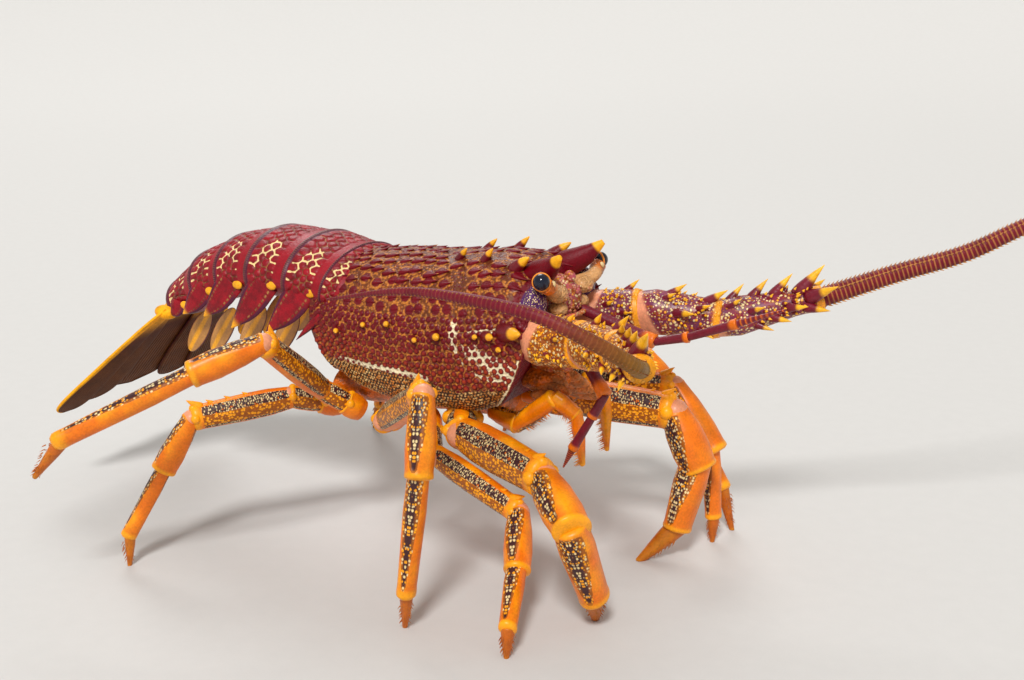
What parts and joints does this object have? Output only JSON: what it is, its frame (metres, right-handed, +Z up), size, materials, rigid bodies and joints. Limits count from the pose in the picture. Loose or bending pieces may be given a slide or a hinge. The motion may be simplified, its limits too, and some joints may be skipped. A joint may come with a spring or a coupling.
{
  "type": "spiny lobster",
  "caption": "Life-size red spiny lobster standing on its walking legs, one rear leg lifted, long feelers raised and tail fan spread.",
  "frame": {"origin": "on the floor, in the middle of the footprint of the whole animal with its feelers", "axes": "+X the way the animal faces, +Y its left, +Z up"},
  "size_m": [0.6253, 0.3614, 0.2505],
  "materials": {
    "carapace": "satin shell, dark red spines on golden brown",
    "face": "satin shell, orange and violet",
    "sternum": "satin shell, pale orange",
    "horn": "satin, dark crimson with yellow tip",
    "eye": "glossy blue black on an orange stalk",
    "antennule": "satin, dark purple with orange rings",
    "antenna_base": "satin, purple and white stipple with yellow spines",
    "flagellum": "satin, purple brown rings",
    "abdomen": "satin, crimson scales with gold edges",
    "tail_fan": "satin, dark red brown with yellow edge",
    "swimmeret": "soft tan with purple edge",
    "maxilliped": "satin orange with dark and cream speckle",
    "leg": "satin orange and yellow with dark and cream granules"
  },
  "bodies": {
    "root": {"abdomen_1": "abdomen", "abdomen_2": "abdomen", "abdomen_3": "abdomen", "abdomen_4": "abdomen", "abdomen_5": "abdomen", "abdomen_6": "abdomen", "antenna_1_left": "antenna_base", "antenna_1_right": "antenna_base", "antenna_2_left": "antenna_base", "antenna_2_right": "antenna_base", "antenna_3_left": "antenna_base", "antenna_3_right": "antenna_base", "antennule_left": "antennule", "antennule_right": "antennule", "carapace": "carapace", "eye_left": "eye", "eye_right": "eye", "face": "face", "flagellum_1_left": "flagellum", "flagellum_1_right": "flagellum", "flagellum_2_left": "flagellum", "flagellum_2_right": "flagellum", "horn_left": "horn", "horn_right": "horn", "leg_1_lower_left": "leg", "leg_1_lower_right": "leg", "leg_1_upper_left": "leg", "leg_1_upper_right": "leg", "leg_2_lower_left": "leg", "leg_2_lower_right": "leg", "leg_2_upper_left": "leg", "leg_2_upper_right": "leg", "leg_3_lower_left": "leg", "leg_3_lower_right": "leg", "leg_3_upper_left": "leg", "leg_3_upper_right": "leg", "leg_4_lower_left": "leg", "leg_4_lower_right": "leg", "leg_4_upper_left": "leg", "leg_4_upper_right": "leg", "leg_5_lower_left": "leg", "leg_5_lower_right": "leg", "leg_5_upper_left": "leg", "leg_5_upper_right": "leg", "maxilliped_left": "maxilliped", "maxilliped_right": "maxilliped", "pleopod_2_left": "swimmeret", "pleopod_2_right": "swimmeret", "pleopod_3_left": "swimmeret", "pleopod_3_right": "swimmeret", "pleopod_4_left": "swimmeret", "pleopod_4_right": "swimmeret", "pleopod_5_left": "swimmeret", "pleopod_5_right": "swimmeret", "sternum": "sternum", "telson": "tail_fan", "uropod_inner_left": "tail_fan", "uropod_inner_right": "tail_fan", "uropod_outer_left": "tail_fan", "uropod_outer_right": "tail_fan"}
  },
  "joints": []
}
